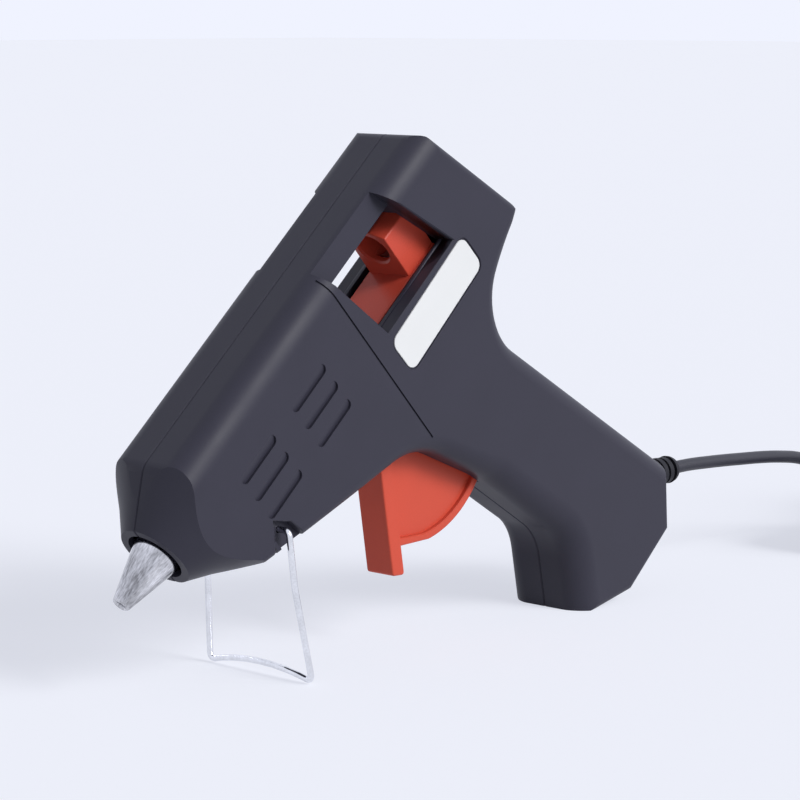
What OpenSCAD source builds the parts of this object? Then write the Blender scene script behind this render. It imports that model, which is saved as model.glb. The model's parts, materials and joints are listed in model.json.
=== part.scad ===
// Mini hot melt glue gun, resting on its wire stand and on the toe of its handle.
// Every piece is drawn in the gun's own frame: X runs from the nozzle tip to the rear along the
// barrel axis, Y goes across the gun and Z is square to the barrel, away from the handle.
// stand_up() then leans the gun on its stand, with the floor at Z = 0.

/* [Body] */
// Width of the two shells together
body_w = 26; // [24:0.5:30]
// Wall of the moulded shells
wall = 2; // [1.6:0.1:2.4]
// Height of the top face above the nozzle axis
barrel_top = 17.5; // [17:0.25:19]
// Nozzle tip to the upper rear corner
barrel_len = 131; // [130:1:140]
// Nozzle tip to the rim of the nose
nose_at = 14; // [12:0.5:15]
// Nozzle tip to where the nose reaches the full section
nose_end = 25.8; // [24:0.2:26.5]
// Radius of the rim of the nose
nose_rim_r = 8.9; // [8.6:0.1:9.6]
// Rounding along the top edges
top_round = 6.5; // [5:0.5:7.5]
// Barrel axis to the flat end of the handle
handle_drop = 125.3; // [118:1:132]

/* [Window] */
// Nozzle tip to the front end of the window, on the barrel axis
window_front = 88.8; // [87:0.2:90]
// Nozzle tip to the rear end of the window, on the barrel axis
window_rear = 117.8; // [117:0.2:119]
// Upper edge of the window above the barrel axis
window_top = 10.6; // [9:0.2:11.5]
// Lower edge of the window below the barrel axis
window_low = 8; // [7.6:0.1:8.2]
// Width of the spine left above the window
spine_w = 16.4; // [14:0.2:18]

/* [Nozzle and heater] */
// Radius of the flat at the nozzle tip
tip_r = 2.4; // [2:0.1:3]
// Radius of the outlet in the tip
orifice_r = 1.05; // [0.6:0.05:1.3]
// Radius of the nozzle where it enters the nose
nozzle_r = 5.7; // [5.2:0.1:6.2]
// Outer radius of the heating chamber
chamber_r = 7; // [6.6:0.1:7.4]
// Length of the heating chamber
chamber_len = 33; // [30:0.5:34]
// Length of the heater under the chamber
heater_len = 21; // [17:0.5:21]
// Radius of the glue stick that the gun takes
stick_r = 3.5; // [3.3:0.05:3.6]
// Length of the silicone inlet sleeve behind the chamber
sleeve_len = 14; // [12:0.5:15]

/* [Trigger] */
// Width of the trigger
trigger_w = 8.8; // [8:0.2:9.6]
// Radius of the trigger's round flange
flange_r = 28.5; // [27.5:0.25:29.5]
// Radius of the trigger's pivot pin
pivot_r = 1.6; // [1.4:0.1:1.9]
// Pivot to the drive pin
drive_arm = 24.5; // [23.8:0.1:24.8]
// Radius of the drive pin
drive_r = 1.5; // [1.2:0.1:1.6]
// Swing of the trigger in degrees
trigger_swing = 22; // [18:1:24]

/* [Feed carriage] */
// Length of the sled
sled_len = 36; // [34:0.5:38]
// Length of the ring along the barrel
ring_len = 11.2; // [10:0.2:12]
// Width of the ring
ring_w = 12.8; // [12.4:0.2:13.4]

/* [Stand] */
// Radius of the stand wire
wire_r = 0.75; // [0.65:0.05:0.85]
// Distance along the barrel from the stand's pivot to its foot
foot_back = 20.6; // [19:0.2:23]
// Drop from the stand's pivot to its foot
foot_drop = 28.7; // [27:0.2:31]
// Width between the centres of the feet
foot_w = 34; // [32:0.5:38]
// Rise of the cross bar at its middle
bar_rise = 2.2; // [1:0.2:3]

/* [Label] */
// Length of the blank rating label
label_len = 34; // [30:0.5:35]
// Height of the blank rating label
label_h = 10.4; // [8:0.2:10.8]

/* [Cord] */
// Radius of the round mains cord
cord_r = 1.75; // [1.5:0.05:2]
// Length of the strain relief outside the handle
relief_len = 18; // [16:0.5:22]
// Layers of cord in the hank
hank_layers = 5; // [4:1:6]
// Length of the hank's straight runs
hank_run = 60; // [52:1:70]
// Radius of the hank's folds, to the centre of the cord
hank_r = 12.25; // [10.5:0.25:14]
// Height of one layer of the hank
hank_pitch = 3.6; // [3.5:0.05:3.8]

/* [Fits] */
// Clearance between parts that slide or swing past each other
slide_gap = 0.3; // [0.2:0.05:0.4]
// Radial clearance of a pin in its bore
pin_gap = 0.05; // [0.02:0.01:0.08]
// Gap left at the seam between the shells
seam_gap = 0.06; // [0.04:0.01:0.1]

/* [Hidden] */
$fn = 48;
slip = 0.01;                     // overlap of cuts past a face

half_w = body_w / 2;
low_front = 16.4;                // bottom of the barrel just behind the nose
rear_lean = 0.3235;              // run of the rear end per unit of height
rear_low = 19.6;                 // rear lower corner below the axis
function rear_at(h) = barrel_len + rear_lean * (barrel_top - h);

// Outline of the body: along, up, corner radius
outline = [
    [nose_at, -nose_rim_r, 1],
    [nose_end, -low_front, 4],
    [80.5, -36.9, 22],
    [92, -62, 30],
    [101.5, 28.3 - handle_drop, 14],
    [90.3, 10.2 - handle_drop, 1.5],
    [108, -handle_drop, 5],
    [128.8, -handle_drop, 3],
    [139.9, 13.5 - handle_drop, 3],
    [115.5, -32, 16],
    [rear_at(-rear_low), -rear_low, 4.5],
    [barrel_len, barrel_top, 3.5],
    [nose_end, barrel_top, 5],
    [nose_at, nose_rim_r, 1]
];

// Trigger pivot and its drive pin at rest, halfway back from square to the barrel
pivot = [86, -38];
arm_lean = trigger_swing / 2;
drive = [pivot[0] + drive_arm * sin(arm_lean), pivot[1] + drive_arm * cos(arm_lean)];

// Stand: pivot, foot and the point of the handle that stands on the floor
stand_at = [37.2, -16.1];
foot = [stand_at[0] - foot_back, stand_at[1] - foot_drop];
toe = [91, 11.3 - handle_drop];
lean = atan2(foot[1] - toe[1], toe[0] - foot[0]) - asin(wire_r / norm(foot - toe));
function across(p) = p[0] * cos(lean) - p[1] * sin(lean);
function upward(p) = p[0] * sin(lean) + p[1] * cos(lean);
lift = wire_r - upward(foot);

// Strain relief: leaves the slanted face at the end of the handle, square to it
exit_face = [[139.9, 13.5 - handle_drop], [128.8, -handle_drop]];
exit_dir = unit(left_of(exit_face[1] - exit_face[0]));
exit_at = exit_face[0] + 0.33 * (exit_face[1] - exit_face[0]);
exit_turn = atan2(exit_dir[1], exit_dir[0]);
relief_end = exit_at + relief_len * exit_dir;
x_mid = (across(relief_end) - tip_r * sin(lean)) / 2;

// ---- small helpers ----
function unit(v) = v / norm(v);
function left_of(v) = [-v[1], v[0]];
function clamp_to(v, lo, hi) = min(max(v, lo), hi);

module stand_up() translate([-x_mid, 0, lift]) rotate([0, -lean, 0]) children();
module at(a, h, y = 0) translate([a, y, h]) children();
// a cylinder across the gun, between two values of Y
module pin(p, r, y0, y1) translate([p[0], y0, p[1]]) rotate([-90, 0, 0]) cylinder(r = r, h = y1 - y0);
// a solid of revolution about the barrel axis, from [along, radius] points
module turned(points) rotate([0, 90, 0]) rotate_extrude() polygon([for (p = points) [p[1], p[0]]]);
// a cylinder along the barrel
module bar(r, a0, a1, h = 0) translate([a0, 0, h]) rotate([0, 90, 0]) cylinder(r = r, h = a1 - a0);
// a box given by its two corners
module block(a, y, h) translate([a[0], y[0], h[0]]) cube([a[1] - a[0], y[1] - y[0], h[1] - h[0]]);
// a side view outline stretched across the gun
module plate(points, y0, y1) translate([0, y1, 0]) rotate([90, 0, 0]) linear_extrude(y1 - y0)
    polygon(points);
module profile(y0, y1) translate([0, y1, 0]) rotate([90, 0, 0]) linear_extrude(y1 - y0) children();
module both_sides() { children(); mirror([0, 1, 0]) children(); }

// ---- moulded outline ----
chord_turn = 18;
// Corner i of the outline when every side is set inward by d
function inset_corner(i, d) =
    let (n = len(outline), o = outline[(i + n - 1) % n], q = outline[i], s = outline[(i + 1) % n],
         p = [q[0], q[1]], a = unit(p - [o[0], o[1]]), b = unit([s[0], s[1]] - p))
    p + d * (left_of(a) + left_of(b)) / (1 + a * b);
function side_dir(i) =
    let (n = len(outline), q = outline[i], s = outline[(i + 1) % n]) unit([s[0] - q[0], s[1] - q[1]]);
// Turn of the outline at corner i, positive to the left
function turn_at(i) =
    let (n = len(outline), a = side_dir((i + n - 1) % n), b = side_dir(i),
         t = asin(clamp_to(a[0] * b[1] - a[1] * b[0], -1, 1)))
    (a * b < 0) ? sign(t) * (180 - abs(t)) : t;
function corner_r(i, d) = turn_at(i) > 0 ? max(outline[i][2] - d, 0.3) : outline[i][2] + d;
function corner_run(i, d) = corner_r(i, d) * tan(abs(turn_at(i)) / 2);
// Where the rounding of corner i starts and ends, and its centre
function round_start(i, d) = inset_corner(i, d) - corner_run(i,
    d) * side_dir((i + len(outline) - 1) % len(outline));
function round_end(i, d) = inset_corner(i, d) + corner_run(i, d) * side_dir(i);
function round_centre(i, d) =
    round_start(i, d) + sign(turn_at(i)) * corner_r(i,
        d) * left_of(side_dir((i + len(outline) - 1) % len(outline)));
// Outer corners are drawn as short chords. A hollow corner of the outer face runs out to the
// centre of its rounding, and a cylinder then cuts the round out of it
function corner_points(i, d) =
    let (c = round_centre(i, d), f = round_start(i, d) - c, w = turn_at(i),
        n = max(round(abs(w) / chord_turn), 1))
    (w < 0 && d == 0) ? [round_start(i, d), c, round_end(i, d)]
    : [for (m = [0:n]) let (t = w * m / n) c + [f[0] * cos(t) - f[1] * sin(t), f[0] * sin(t)
        + f[1] * cos(t)]];
// Half of the gun's form, from the seam to its side face, a depth inside the outer face
module half_form(d) {
    w = half_w - d;
    top = barrel_top - d;
    r = max(top_round - d, 0.5);
    intersection() {
        difference() {
            plate([for (i = [0:len(outline) - 1]) each corner_points(i, d)], seam_gap / 2, w);
            if (d == 0) for (i = [0:len(outline) - 1])
                if (turn_at(i) < 0) pin(round_centre(i, 0), corner_r(i, 0), -1, w + 1, $fn = 96);
        }
        rotate([90, 0, 90]) linear_extrude(160) {
            translate([-1, -handle_drop - 1]) square([w + 1, handle_drop + 1 + top - r]);
            translate([-1, -handle_drop - 1]) square([w + 1 - r, handle_drop + 1 + top]);
            translate([w - r, top - r]) circle(r);
        }
    }
}
// The nose is turned: it flares from a round rim to the full section. What lies behind is left alone
flare = [[12, 7.4], [nose_at, nose_rim_r], [19.7, 13.1], [26, 18.4], [32, 24]];
module nose_limit(depth) turned(concat([[8, 0], [8, flare[0][1]]],
    [for (p = flare) [p[0] + 0.62 * depth, p[1] - 0.78 * depth]], [[34, 250], [200, 250], [200, 0]]));

// ---- shells ----
screw_sites = [[49, -19.6], [63, 12.2], [127.5, 11.6], [129, -13.4], [104, -45], [109, 15.3 - handle_drop]];
boss_r = 3.6;
screw_r = 1.3;
head_r = 2.6;
head_h = 2;
head_at = half_w - 3.4;          // seat of the screw heads in the right half
screw_deep = 8;                  // reach of the screws into the left half
rib_t = 1.6;
window_lean_front = 0.2157;
window_lean_rear = 0.374;
frame_t = 2;                     // walls round the window
rail_h = 4.8;                    // height of the block that guides the sled
sled_w = 14;
sled_t = 2;
sled_top = -window_low - 0.5;
channel_half = sled_w / 2 + 0.4;
lug_half = 5;
slot_half = trigger_w / 2 + slide_gap;
bush_r = 6;
bush_at = [126, 134];
post_at = [113, -24.2];          // spring post
post_r = 0.9;
pivot_half = 9;                  // half length of the trigger pin
trigger_slot = [[-12, -4], [-12, 11], [-2, 11], [26, -4], [24, -30], [2, -34]];
neck_r = 6;                      // front neck of the heating chamber
lead_half = 7.5;                 // widest place of the heater leads near the chamber
ring_top = 5.7;
relief_neck_r = 4.2;
relief_flange_r = relief_neck_r + 0.7;
label_sink = 0.35;
clamp_screw_r = 1.1;
clamp_deep = 7.5;
pocket = [[-1, 4.5], [-8, -4.9], [-3, -9.9], [4.1, -8.4], [2.6, 0.1]];
bearing = [[-8, -5.4], [5.6, -8.9], [5, 0.1], [-0.8, 6.5], [-2.4, 6.3]];
tail_y = 6.9;                    // inner end of the stand wire
leg_y = half_w + wire_r + 0.2;   // centre of the stand wire outside the shell
pocket_depth = 2.4;
ring_seat_r = 9.2;
ring_t = 3;
chamber_at = nose_end + 1.2;
chamber_end = chamber_at + chamber_len;
front_ring_at = chamber_at + 0.2;
rear_ring_at = chamber_end - ring_t - 1.8;
clamp_at = exit_at - 11 * exit_dir;
clamp_reach = 4.9;               // cord centre to each clamp screw
boss_floor = half_w - wall + 0.5;

function window_x(h, front) = front ? window_front - window_lean_front * h
    : window_rear - window_lean_rear * h;
function window_shape(low, high, grow = 0) = [
    [window_x(low, true) - grow, low], [window_x(low, false) + grow, low],
    [window_x(high, false) + grow, high], [window_x(high, true) - grow, high]];
function clamp_site(s) = clamp_at + s * clamp_reach * left_of(exit_dir);

// Solid features that stand inside the hollow of one half
module inner_features(side) {
    over = barrel_top + 1;
    // seats of the nose and of the two chamber rings
    block([nose_end - 1, front_ring_at + ring_t + rib_t], [0, half_w], [-low_front - 3, over]);
    block([rear_ring_at - rib_t, rear_ring_at + ring_t + rib_t], [0, half_w], [-15.5, over]);
    // walls and rails of the window
    plate(window_shape(-window_low - rail_h, over, frame_t), 0, half_w);
    // seat of the stick guide
    block([bush_at[0] - rib_t, rear_at(-12)], [0, half_w], [-bush_r - 4, bush_r + 4]);
    for (p = screw_sites) pin(p, boss_r, 0, boss_floor);
    // trigger pivot, spring post, stand bearing
    pin(pivot, pivot_r + 2.4, slot_half + 0.2, boss_floor);
    pin(post_at, post_r, 0, boss_floor);
    plate([for (p = bearing) stand_at + p], half_w - pocket_depth - 2.6, boss_floor);
    stand_stop();
    // cable clamp: two posts and a cradle under the cord, in the left half
    if (side < 0) {
        for (s = [-1, 1]) pin(clamp_site(s), 2.3, 0, boss_floor);
        clamp_frame() block([-2, 2], [0, boss_floor], [-clamp_reach, clamp_reach]);
    }
}
// rib that the inner end of the stand wire rests on when the stand is down
module stand_stop() {
    u = unit(foot - stand_at) * -1;
    rest_on = stand_at + 3.2 * u + (wire_r + slide_gap / 2) * left_of(u);
    plate([rest_on - 1.4 * u, rest_on + 1.4 * u, rest_on + 1.4 * u + 2 * left_of(u), rest_on - 1.4 * u
        + 2 * left_of(u)],
        tail_y - 1, half_w - pocket_depth);
}
// Everything cut through the walls of one half
module shell_cuts(side) {
    far = half_w + 1;
    // nozzle opening, seats of the chamber rings, stick bore
    bar(nozzle_r + 1.3, nose_at - 3, nose_end - 1 - slip);
    bar(neck_r + 0.9, nose_end - 2, nose_end + 2);
    bar(chamber_r + 0.9, nose_end + 1, rear_ring_at + ring_t + 3);
    bar(ring_seat_r + pin_gap, front_ring_at, front_ring_at + ring_t);
    bar(ring_seat_r + pin_gap, rear_ring_at, rear_ring_at + ring_t);
    block([rear_ring_at - 3, rear_ring_at + ring_t + 3], [-1, lead_half + 1.5],
        [-16, upper_plate + slide_gap]);
    bar(stick_r + 0.8, window_front - 8, window_rear + 6);
    bar(bush_r + pin_gap, bush_at[0], bush_at[1]);
    bar(stick_r + 0.9, bush_at[0] - 3, bush_at[0] + 1);
    bar(stick_r + 1.4, bush_at[1] - 1, bush_at[1] + 8);
    // window, its recess beside the spine, and the hollow of the spine
    plate(window_shape(-window_low, window_top), -1, far);
    plate(window_shape(-window_low, barrel_top + 2), spine_w / 2, far);
    plate(window_shape(-window_low, barrel_top - wall), -1, spine_w / 2 - frame_t);
    block([window_rear - 6, window_rear + 6], [-1, ring_w / 2 + slide_gap],
        [-window_low - 1, ring_top + slide_gap]);
    // channel of the sled and slot for the carriage lugs
    block([window_front - 20, window_rear + 6], [-1, channel_half],
        [sled_top - sled_t - slide_gap, -window_low]);
    block([window_front - 20, window_rear + 6], [-1, lug_half + slide_gap], [-30, -window_low]);
    // slot for the trigger
    profile(-1, slot_half) intersection() {
        translate(pivot) circle(flange_r + slide_gap, $fn = 96);
        polygon([for (p = trigger_slot) pivot + p]);
    }
    pin(pivot, pivot_r + pin_gap, 0, pivot_half + pin_gap);
    // vents: shallow louvres in two groups of three
    for (a = [57.3, 35.8]) for (h = [0.8, -5, -11.2]) vent(a, h);
    // groove square to the barrel
    plate([[83.75, -37.5], [84.25, -37.5], [84.25, 14], [83.75, 14]], half_w - 0.4, far);
    // pocket and bearing of the stand wire
    plate([for (p = pocket) stand_at + p], half_w - pocket_depth, far);
    pin(stand_at, wire_r + pin_gap, 0, far);
    // cord exit
    relief_frame() {
        bar(relief_neck_r + pin_gap, -6, 3);
        bar(relief_flange_r + pin_gap, -wall - 2 - slide_gap, -wall);
    }
    if (side < 0) {
        label_frame() profile(half_w - label_sink, far) rounded(label_len + 1, label_h + 1, 2.8);
        for (p = screw_sites) pin(p, screw_r + pin_gap, 0, screw_deep + 1);
        for (s = [-1, 1]) pin(clamp_site(s), clamp_screw_r + pin_gap, -2, clamp_deep + 0.5);
        clamp_frame() bar(cord_r + 0.02, -8, 8);
    } else {
        for (p = screw_sites) {
            pin(p, screw_r + 0.25, -1, far);
            pin(p, head_r + 0.2, head_at, far);
        }
    }
}
module vent(a, h) {
    deep = 0.7;
    r = 1.4;
    profile(half_w - deep, half_w + 1) translate([a + r, h]) {
        translate([0, 0]) square([11, 2 * r]);
        translate([0, r]) circle(r);
        translate([11, r]) circle(r);
    }
}
module rounded(l, h, r) {
    square([l, h - 2 * r], center = true);
    square([l - 2 * r, h], center = true);
    for (x = [-1, 1]) for (y = [-1, 1]) translate([x * (l / 2 - r), y * (h / 2 - r)]) circle(r);
}
module label_frame() translate([106.8, 0, -15.1]) rotate([0, -1.6, 0]) children();
module clamp_frame() translate([clamp_at[0], 0, clamp_at[1]]) rotate([0, -exit_turn, 0]) children();
module relief_frame() translate([exit_at[0], 0, exit_at[1]]) rotate([0, -exit_turn, 0]) children();
// half of the casing, built on the +Y side
module half_shell(side) {
    difference() {
        intersection() {
            half_form(0);
            nose_limit(0);
        }
        difference() {
            intersection() {
                half_form(wall);
                nose_limit(wall);
            }
            inner_features(side);
        }
        shell_cuts(side);
    }
}
module on_floor() difference() {
    stand_up() children();
    translate([-300, -50, -20]) cube([600, 100, 20]);
}
module left_shell() color("#35353a") on_floor() mirror([0, 1, 0]) half_shell(-1);
module right_shell() color("#35353a") on_floor() half_shell(1);

module shell_screws() color("#8a8d92") stand_up() for (p = screw_sites) {
    pin(p, screw_r, -screw_deep, head_at + slip);
    difference() {
        pin(p, head_r, head_at, head_at + head_h);
        block([p[0] - 0.3, p[0] + 0.3], [head_at + head_h - 0.8, head_at + head_h + 1],
            [p[1] - 1.8, p[1] + 1.8]);
        block([p[0] - 1.8, p[0] + 1.8], [head_at + head_h - 0.8, head_at + head_h + 1],
            [p[1] - 0.3, p[1] + 0.3]);
    }
}
module rating_label() color("#f2f2f0") stand_up() mirror([0, 1, 0]) label_frame()
    profile(half_w - label_sink, half_w - 0.05) rounded(label_len, label_h, 2.5);

// ---- nozzle, valve and heater ----
neck_at = 22;                    // front of the chamber's neck
stub_r = 4;                      // rear spigot of the nozzle, held in the neck
valve_seat = neck_at + 3.1;
valve_bore = 2.6;
ball_r = 2.1;
ball_at = valve_seat - 1.6;
valve_wire = 0.3;
valve_stop = 11.5;
heater_at = (front_ring_at + ring_t + rear_ring_at - heater_len) / 2;
seat_drop = chamber_r + 1.5;     // flat under the chamber that carries the heater
seat_half = 5.2;
sheet_t = 0.25;                  // insulation wrap
plate_t = 0.35;                  // electrode
element_t = 2.1;
stack_gap = 0.02;
upper_plate = -seat_drop - 2 * stack_gap - sheet_t;
element_top = upper_plate - plate_t - stack_gap;
lower_plate = element_top - element_t - stack_gap;
wrap_low = lower_plate - plate_t - stack_gap - sheet_t;
wrap_half = seat_half - 0.2;
clip_t = 0.8;
clip_len = 5.6;
spigot_r = 5;
spigot_len = 6;
sleeve_at = chamber_end + 0.5;

module nozzle() color("#c9cbce") stand_up() turned([
    [0, orifice_r], [0, tip_r], [nose_at, nozzle_r], [neck_at, nozzle_r], [neck_at, stub_r],
    [valve_seat, stub_r], [valve_seat, valve_bore], [valve_stop, valve_bore],
    [valve_stop - 1.5, orifice_r + 0.5], [5, orifice_r]]);
module valve_ball() color("#d8dade") stand_up() at(ball_at, 0) sphere(ball_r);
module valve_spring() color("#b5b8bd") stand_up()
    sweep(coil_points(valve_stop + valve_wire + 0.1, ball_at - ball_r - 0.1 - valve_wire, 0, 1.9, 5),
        valve_wire, 6);

module heating_chamber() color("#b9bcc2") stand_up() difference() {
    union() {
        bar(neck_r, neck_at + slip, chamber_at + slip);
        bar(chamber_r, chamber_at, chamber_end);
        bar(spigot_r, chamber_end - slip, chamber_end + spigot_len);
        block([heater_at, heater_at + heater_len], [-seat_half, seat_half], [-seat_drop, -6]);
    }
    bar(stub_r + pin_gap, neck_at - 1, valve_seat + slip);
    bar(1.5, valve_seat - 1, chamber_at + 3);
    turned([[chamber_at + 1, 0], [chamber_at + 1, 1.5], [chamber_at + 4, stick_r + 0.3],
        [chamber_end + spigot_len + 1, stick_r + 0.3], [chamber_end + spigot_len + 1, 0]]);
}
module heater_element() color("#3b3b3f") stand_up()
    block([heater_at + 1, heater_at + heater_len - 1], [-wrap_half + 0.7, wrap_half - 0.7],
        [element_top - element_t, element_top]);
// one electrode is a plate with a soldering tab at its rear end
module electrode(top, side) {
    block([heater_at + 1, heater_at + heater_len - 1], [-wrap_half + 0.6, wrap_half - 0.6],
        [top - plate_t, top]);
    block([heater_at + heater_len - 1 - slip, heater_at + heater_len + 1.5],
        [side * 2.5 - 1, side * 2.5 + 1], [top - plate_t, top]);
}
module heater_electrodes() color("#caa25a") stand_up() {
    electrode(upper_plate, 1);
    electrode(lower_plate, -1);
}
module heater_insulation() color("#c79a4b") stand_up() difference() {
    block([heater_at, heater_at + heater_len], [-wrap_half, wrap_half], [wrap_low, -seat_drop - stack_gap]);
    block([heater_at - 1, heater_at + heater_len + 1], [-wrap_half + sheet_t, wrap_half - sheet_t],
        [wrap_low + sheet_t, -seat_drop - stack_gap - sheet_t]);
}
module heater_clip() {
    inner = chamber_r + 0.1;
    outer = inner + clip_t;
    mid = heater_at + heater_len / 2;
    ends = [mid - clip_len / 2, mid + clip_len / 2];
    color("#9ea1a6") stand_up() {
        difference() {
            bar(outer, ends[0], ends[1]);
            bar(inner, ends[0] - 1, ends[1] + 1);
            block([ends[0] - 1, ends[1] + 1], [-outer - 1, outer + 1], [-outer - 1, 0]);
        }
        for (s = [-1, 1]) block(ends, [min(s * inner, s * outer), max(s * inner, s * outer)],
            [wrap_low - clip_t - 0.02, slip]);
        block(ends, [-outer, outer], [wrap_low - clip_t - 0.02, wrap_low - 0.02]);
    }
}
module chamber_ring(a) turned([[a, chamber_r + pin_gap], [a + ring_t, chamber_r + pin_gap],
    [a + ring_t, ring_seat_r], [a, ring_seat_r]]);
module chamber_front_ring() color("#b4483a") stand_up() chamber_ring(front_ring_at);
module chamber_rear_ring() color("#b4483a") stand_up() chamber_ring(rear_ring_at);
module stick_sleeve() {
    end = sleeve_at + sleeve_len;
    over = sleeve_at + spigot_len;
    color("#c2503f") stand_up() turned([
        [sleeve_at, spigot_r + 0.02], [over, spigot_r + 0.02], [over, stick_r + 0.15],
            [end - 1.5, stick_r + 0.15],
        [end, stick_r + 1], [end, spigot_r + 1.5], [end - 1.2, spigot_r + 1.3],
            [sleeve_at, spigot_r + 1.3]]);
}
module sleeve_clamp() color("#a8abb0") stand_up()
    turned([[sleeve_at + 1.5, spigot_r + 1.32], [sleeve_at + 4, spigot_r + 1.32],
        [sleeve_at + 4, spigot_r + 2.1], [sleeve_at + 1.5, spigot_r + 2.1]]);
module stick_guide() color("#2f2f33") stand_up() turned([
    [bush_at[0], stick_r + 0.4], [bush_at[1] - 1, stick_r + 0.4], [bush_at[1], stick_r + 1.2],
        [bush_at[1], bush_r], [bush_at[0], bush_r]]);

// ---- feed carriage ----
ring_at = window_rear + 2.2;     // rear face of the ring at rest
sled_rear = ring_at;
jaw_pivot = [ring_at - 4.5, -7.5];
jaw_pin_r = 0.9;
jaw_half = 2.4;
lug_inner = 2.8;
lug_span = [drive[0] - 3.3, drive[0] + 3.3];
lug_low = drive[1] - 3.05;
drive_play = 0.15;
module feed_carriage() color("#c8493a") stand_up() difference() {
    union() {
        block([sled_rear - sled_len, sled_rear], [-sled_w / 2, sled_w / 2], [sled_top - sled_t, sled_top]);
        // the ring: flat sides with sloping shoulders
        rotate([90, 0, 90]) translate([0, 0, ring_at - ring_len]) linear_extrude(ring_len) polygon([
            [-ring_w / 2, sled_top - slip], [ring_w / 2, sled_top - slip], [ring_w / 2, ring_top - 1.8],
            [2.5, ring_top], [-2.5, ring_top], [-ring_w / 2, ring_top - 1.8]]);
        for (s = [-1, 1]) block(lug_span, [min(s * lug_inner, s * lug_half),
            max(s * lug_inner, s * lug_half)],
            [lug_low, sled_top - sled_t + slip]);
    }
    bar(stick_r + 0.9, ring_at - ring_len - 1, ring_at + 1);
    block([jaw_pivot[0] - 5, jaw_pivot[0] + 3.4], [-jaw_half - slide_gap, jaw_half + slide_gap],
        [sled_top - sled_t - 1, 0]);
    pin(jaw_pivot, jaw_pin_r + 0.02, -ring_w, ring_w);
    // upright slots for the drive pin, which rises a little at mid stroke
    block([drive[0] - drive_r - drive_play, drive[0] + drive_r + drive_play], [-lug_half - 1, lug_half + 1],
        [drive[1] - drive_r + 0.1, pivot[1] + drive_arm + drive_r + drive_play]);
    pin(drive, drive_r + drive_play, -lug_half - 1, lug_half + 1);
}
module grip_jaw() color("#8f9297") stand_up() difference() {
    profile(-jaw_half, jaw_half) {
        translate(jaw_pivot) circle(2);
        polygon([for (p = [[0, -2], [2, 0], [0.6, 1.9], [-1.6, 2], [-3.2, 2.3], [-4.5, 2.9], [-4.6, 1.8],
            [-2.2, -1.4]]) jaw_pivot + p]);
    }
    pin(jaw_pivot, jaw_pin_r + pin_gap, -jaw_half - 1, jaw_half + 1);
}
module jaw_pin() color("#a8abb0") stand_up() pin(jaw_pivot, jaw_pin_r, -ring_w / 2 + 0.1, ring_w / 2 - 0.1);

// ---- trigger ----
tip = [57.5, -59.6];             // lower front corner of the finger face
face_top = [79, -27];            // upper end of the finger face, inside the casing
band_end = [60.4, -62.5];
notch = [64.4, -56.4];
rim_start = [72.2, -62.6];
rim_last = -68;                  // direction of the rim's rear end
web_sink = 1.2;
rim_t = 2;
arm_half = 2.5;
hub_r = 5;
ear_at = [92.4, -24.2];
ear_r = 2.1;
peg_r = 0.7;
hook_slot = 1.4;                 // half width of the slot for the spring hook
function around(c, r, t) = c + r * [cos(t), sin(t)];
module trigger_side() {
    polygon([face_top, tip, band_end, notch, rim_start, around(pivot, hub_r, -20),
        around(pivot, hub_r, 80)]);
    intersection() {
        translate(pivot) circle(flange_r, $fn = 96);
        polygon([pivot, rim_start + (rim_start - pivot), around(pivot, 60, -90),
            around(pivot, 60, rim_last)]);
    }
    translate(pivot) circle(hub_r);
}
// sunk web between the finger band, the rim and the hub
module trigger_web() {
    u = unit(notch - band_end);
    v = unit(rim_start - notch);
    corner = notch + rim_t * u;
    difference() {
        intersection() {
            translate(pivot) circle(flange_r - rim_t, $fn = 96);
            polygon([corner, corner + 60 * v, around(pivot, 60, rim_last - 6),
                around(pivot, 6, rim_last - 6),
                corner + 17 * u]);
        }
        translate(pivot) circle(hub_r + 1);
    }
}
module trigger() color("#c8493a") stand_up() difference() {
    union() {
        difference() {
            profile(-trigger_w / 2, trigger_w / 2) trigger_side();
            for (s = [-1, 1]) profile(s * (trigger_w / 2 - web_sink / 2) - web_sink / 2 - (s < 0 ? 1 : 0),
                s * (trigger_w / 2 - web_sink / 2) + web_sink / 2 + (s > 0 ? 1 : 0)) trigger_web();
        }
        profile(-arm_half, arm_half) {
            n = unit(left_of(drive - pivot));
            polygon([pivot - 4 * n, drive - 2.3 * n, drive + 2.3 * n, pivot + 4 * n]);
            translate(drive) circle(2.4);
            polygon([ear_at + [-5, -4], ear_at + [0, -ear_r], ear_at + [0, ear_r], ear_at + [-4, 4]]);
            translate(ear_at) circle(ear_r);
        }
    }
    pin(pivot, pivot_r + pin_gap, -trigger_w, trigger_w);
    pin(drive, drive_r, -trigger_w, trigger_w);
    // slot round the peg for the hook of the return spring
    difference() {
        pin(ear_at, ear_r + 0.3, -hook_slot, hook_slot);
        pin(ear_at, peg_r, -2, 2);
    }
}
module trigger_pin() color("#a8abb0") stand_up() pin(pivot, pivot_r, -pivot_half, pivot_half);
module drive_pin() color("#a8abb0") stand_up() pin(drive, drive_r, -lug_half, lug_half);

// ---- swept wires ----
spring_wire = 0.35;
spring_r = 1.85;
hook_r = 1.35;
spring_turns = 12;
function coil_points(a0, a1, h, r, turns, steps = 12) =
    [for (m = [0:turns * steps]) [a0 + (a1 - a0) * m / (turns * steps), r * cos(360 * m / steps), h
        + r * sin(360 * m / steps)]];
function hook_points(c, r, t0, t1, steps = 8) =
    [for (m = [0:steps]) let (t = t0 + (t1 - t0) * m / steps) [c[0] + r * cos(t), 0, c[1] + r * sin(t)]];
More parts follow.
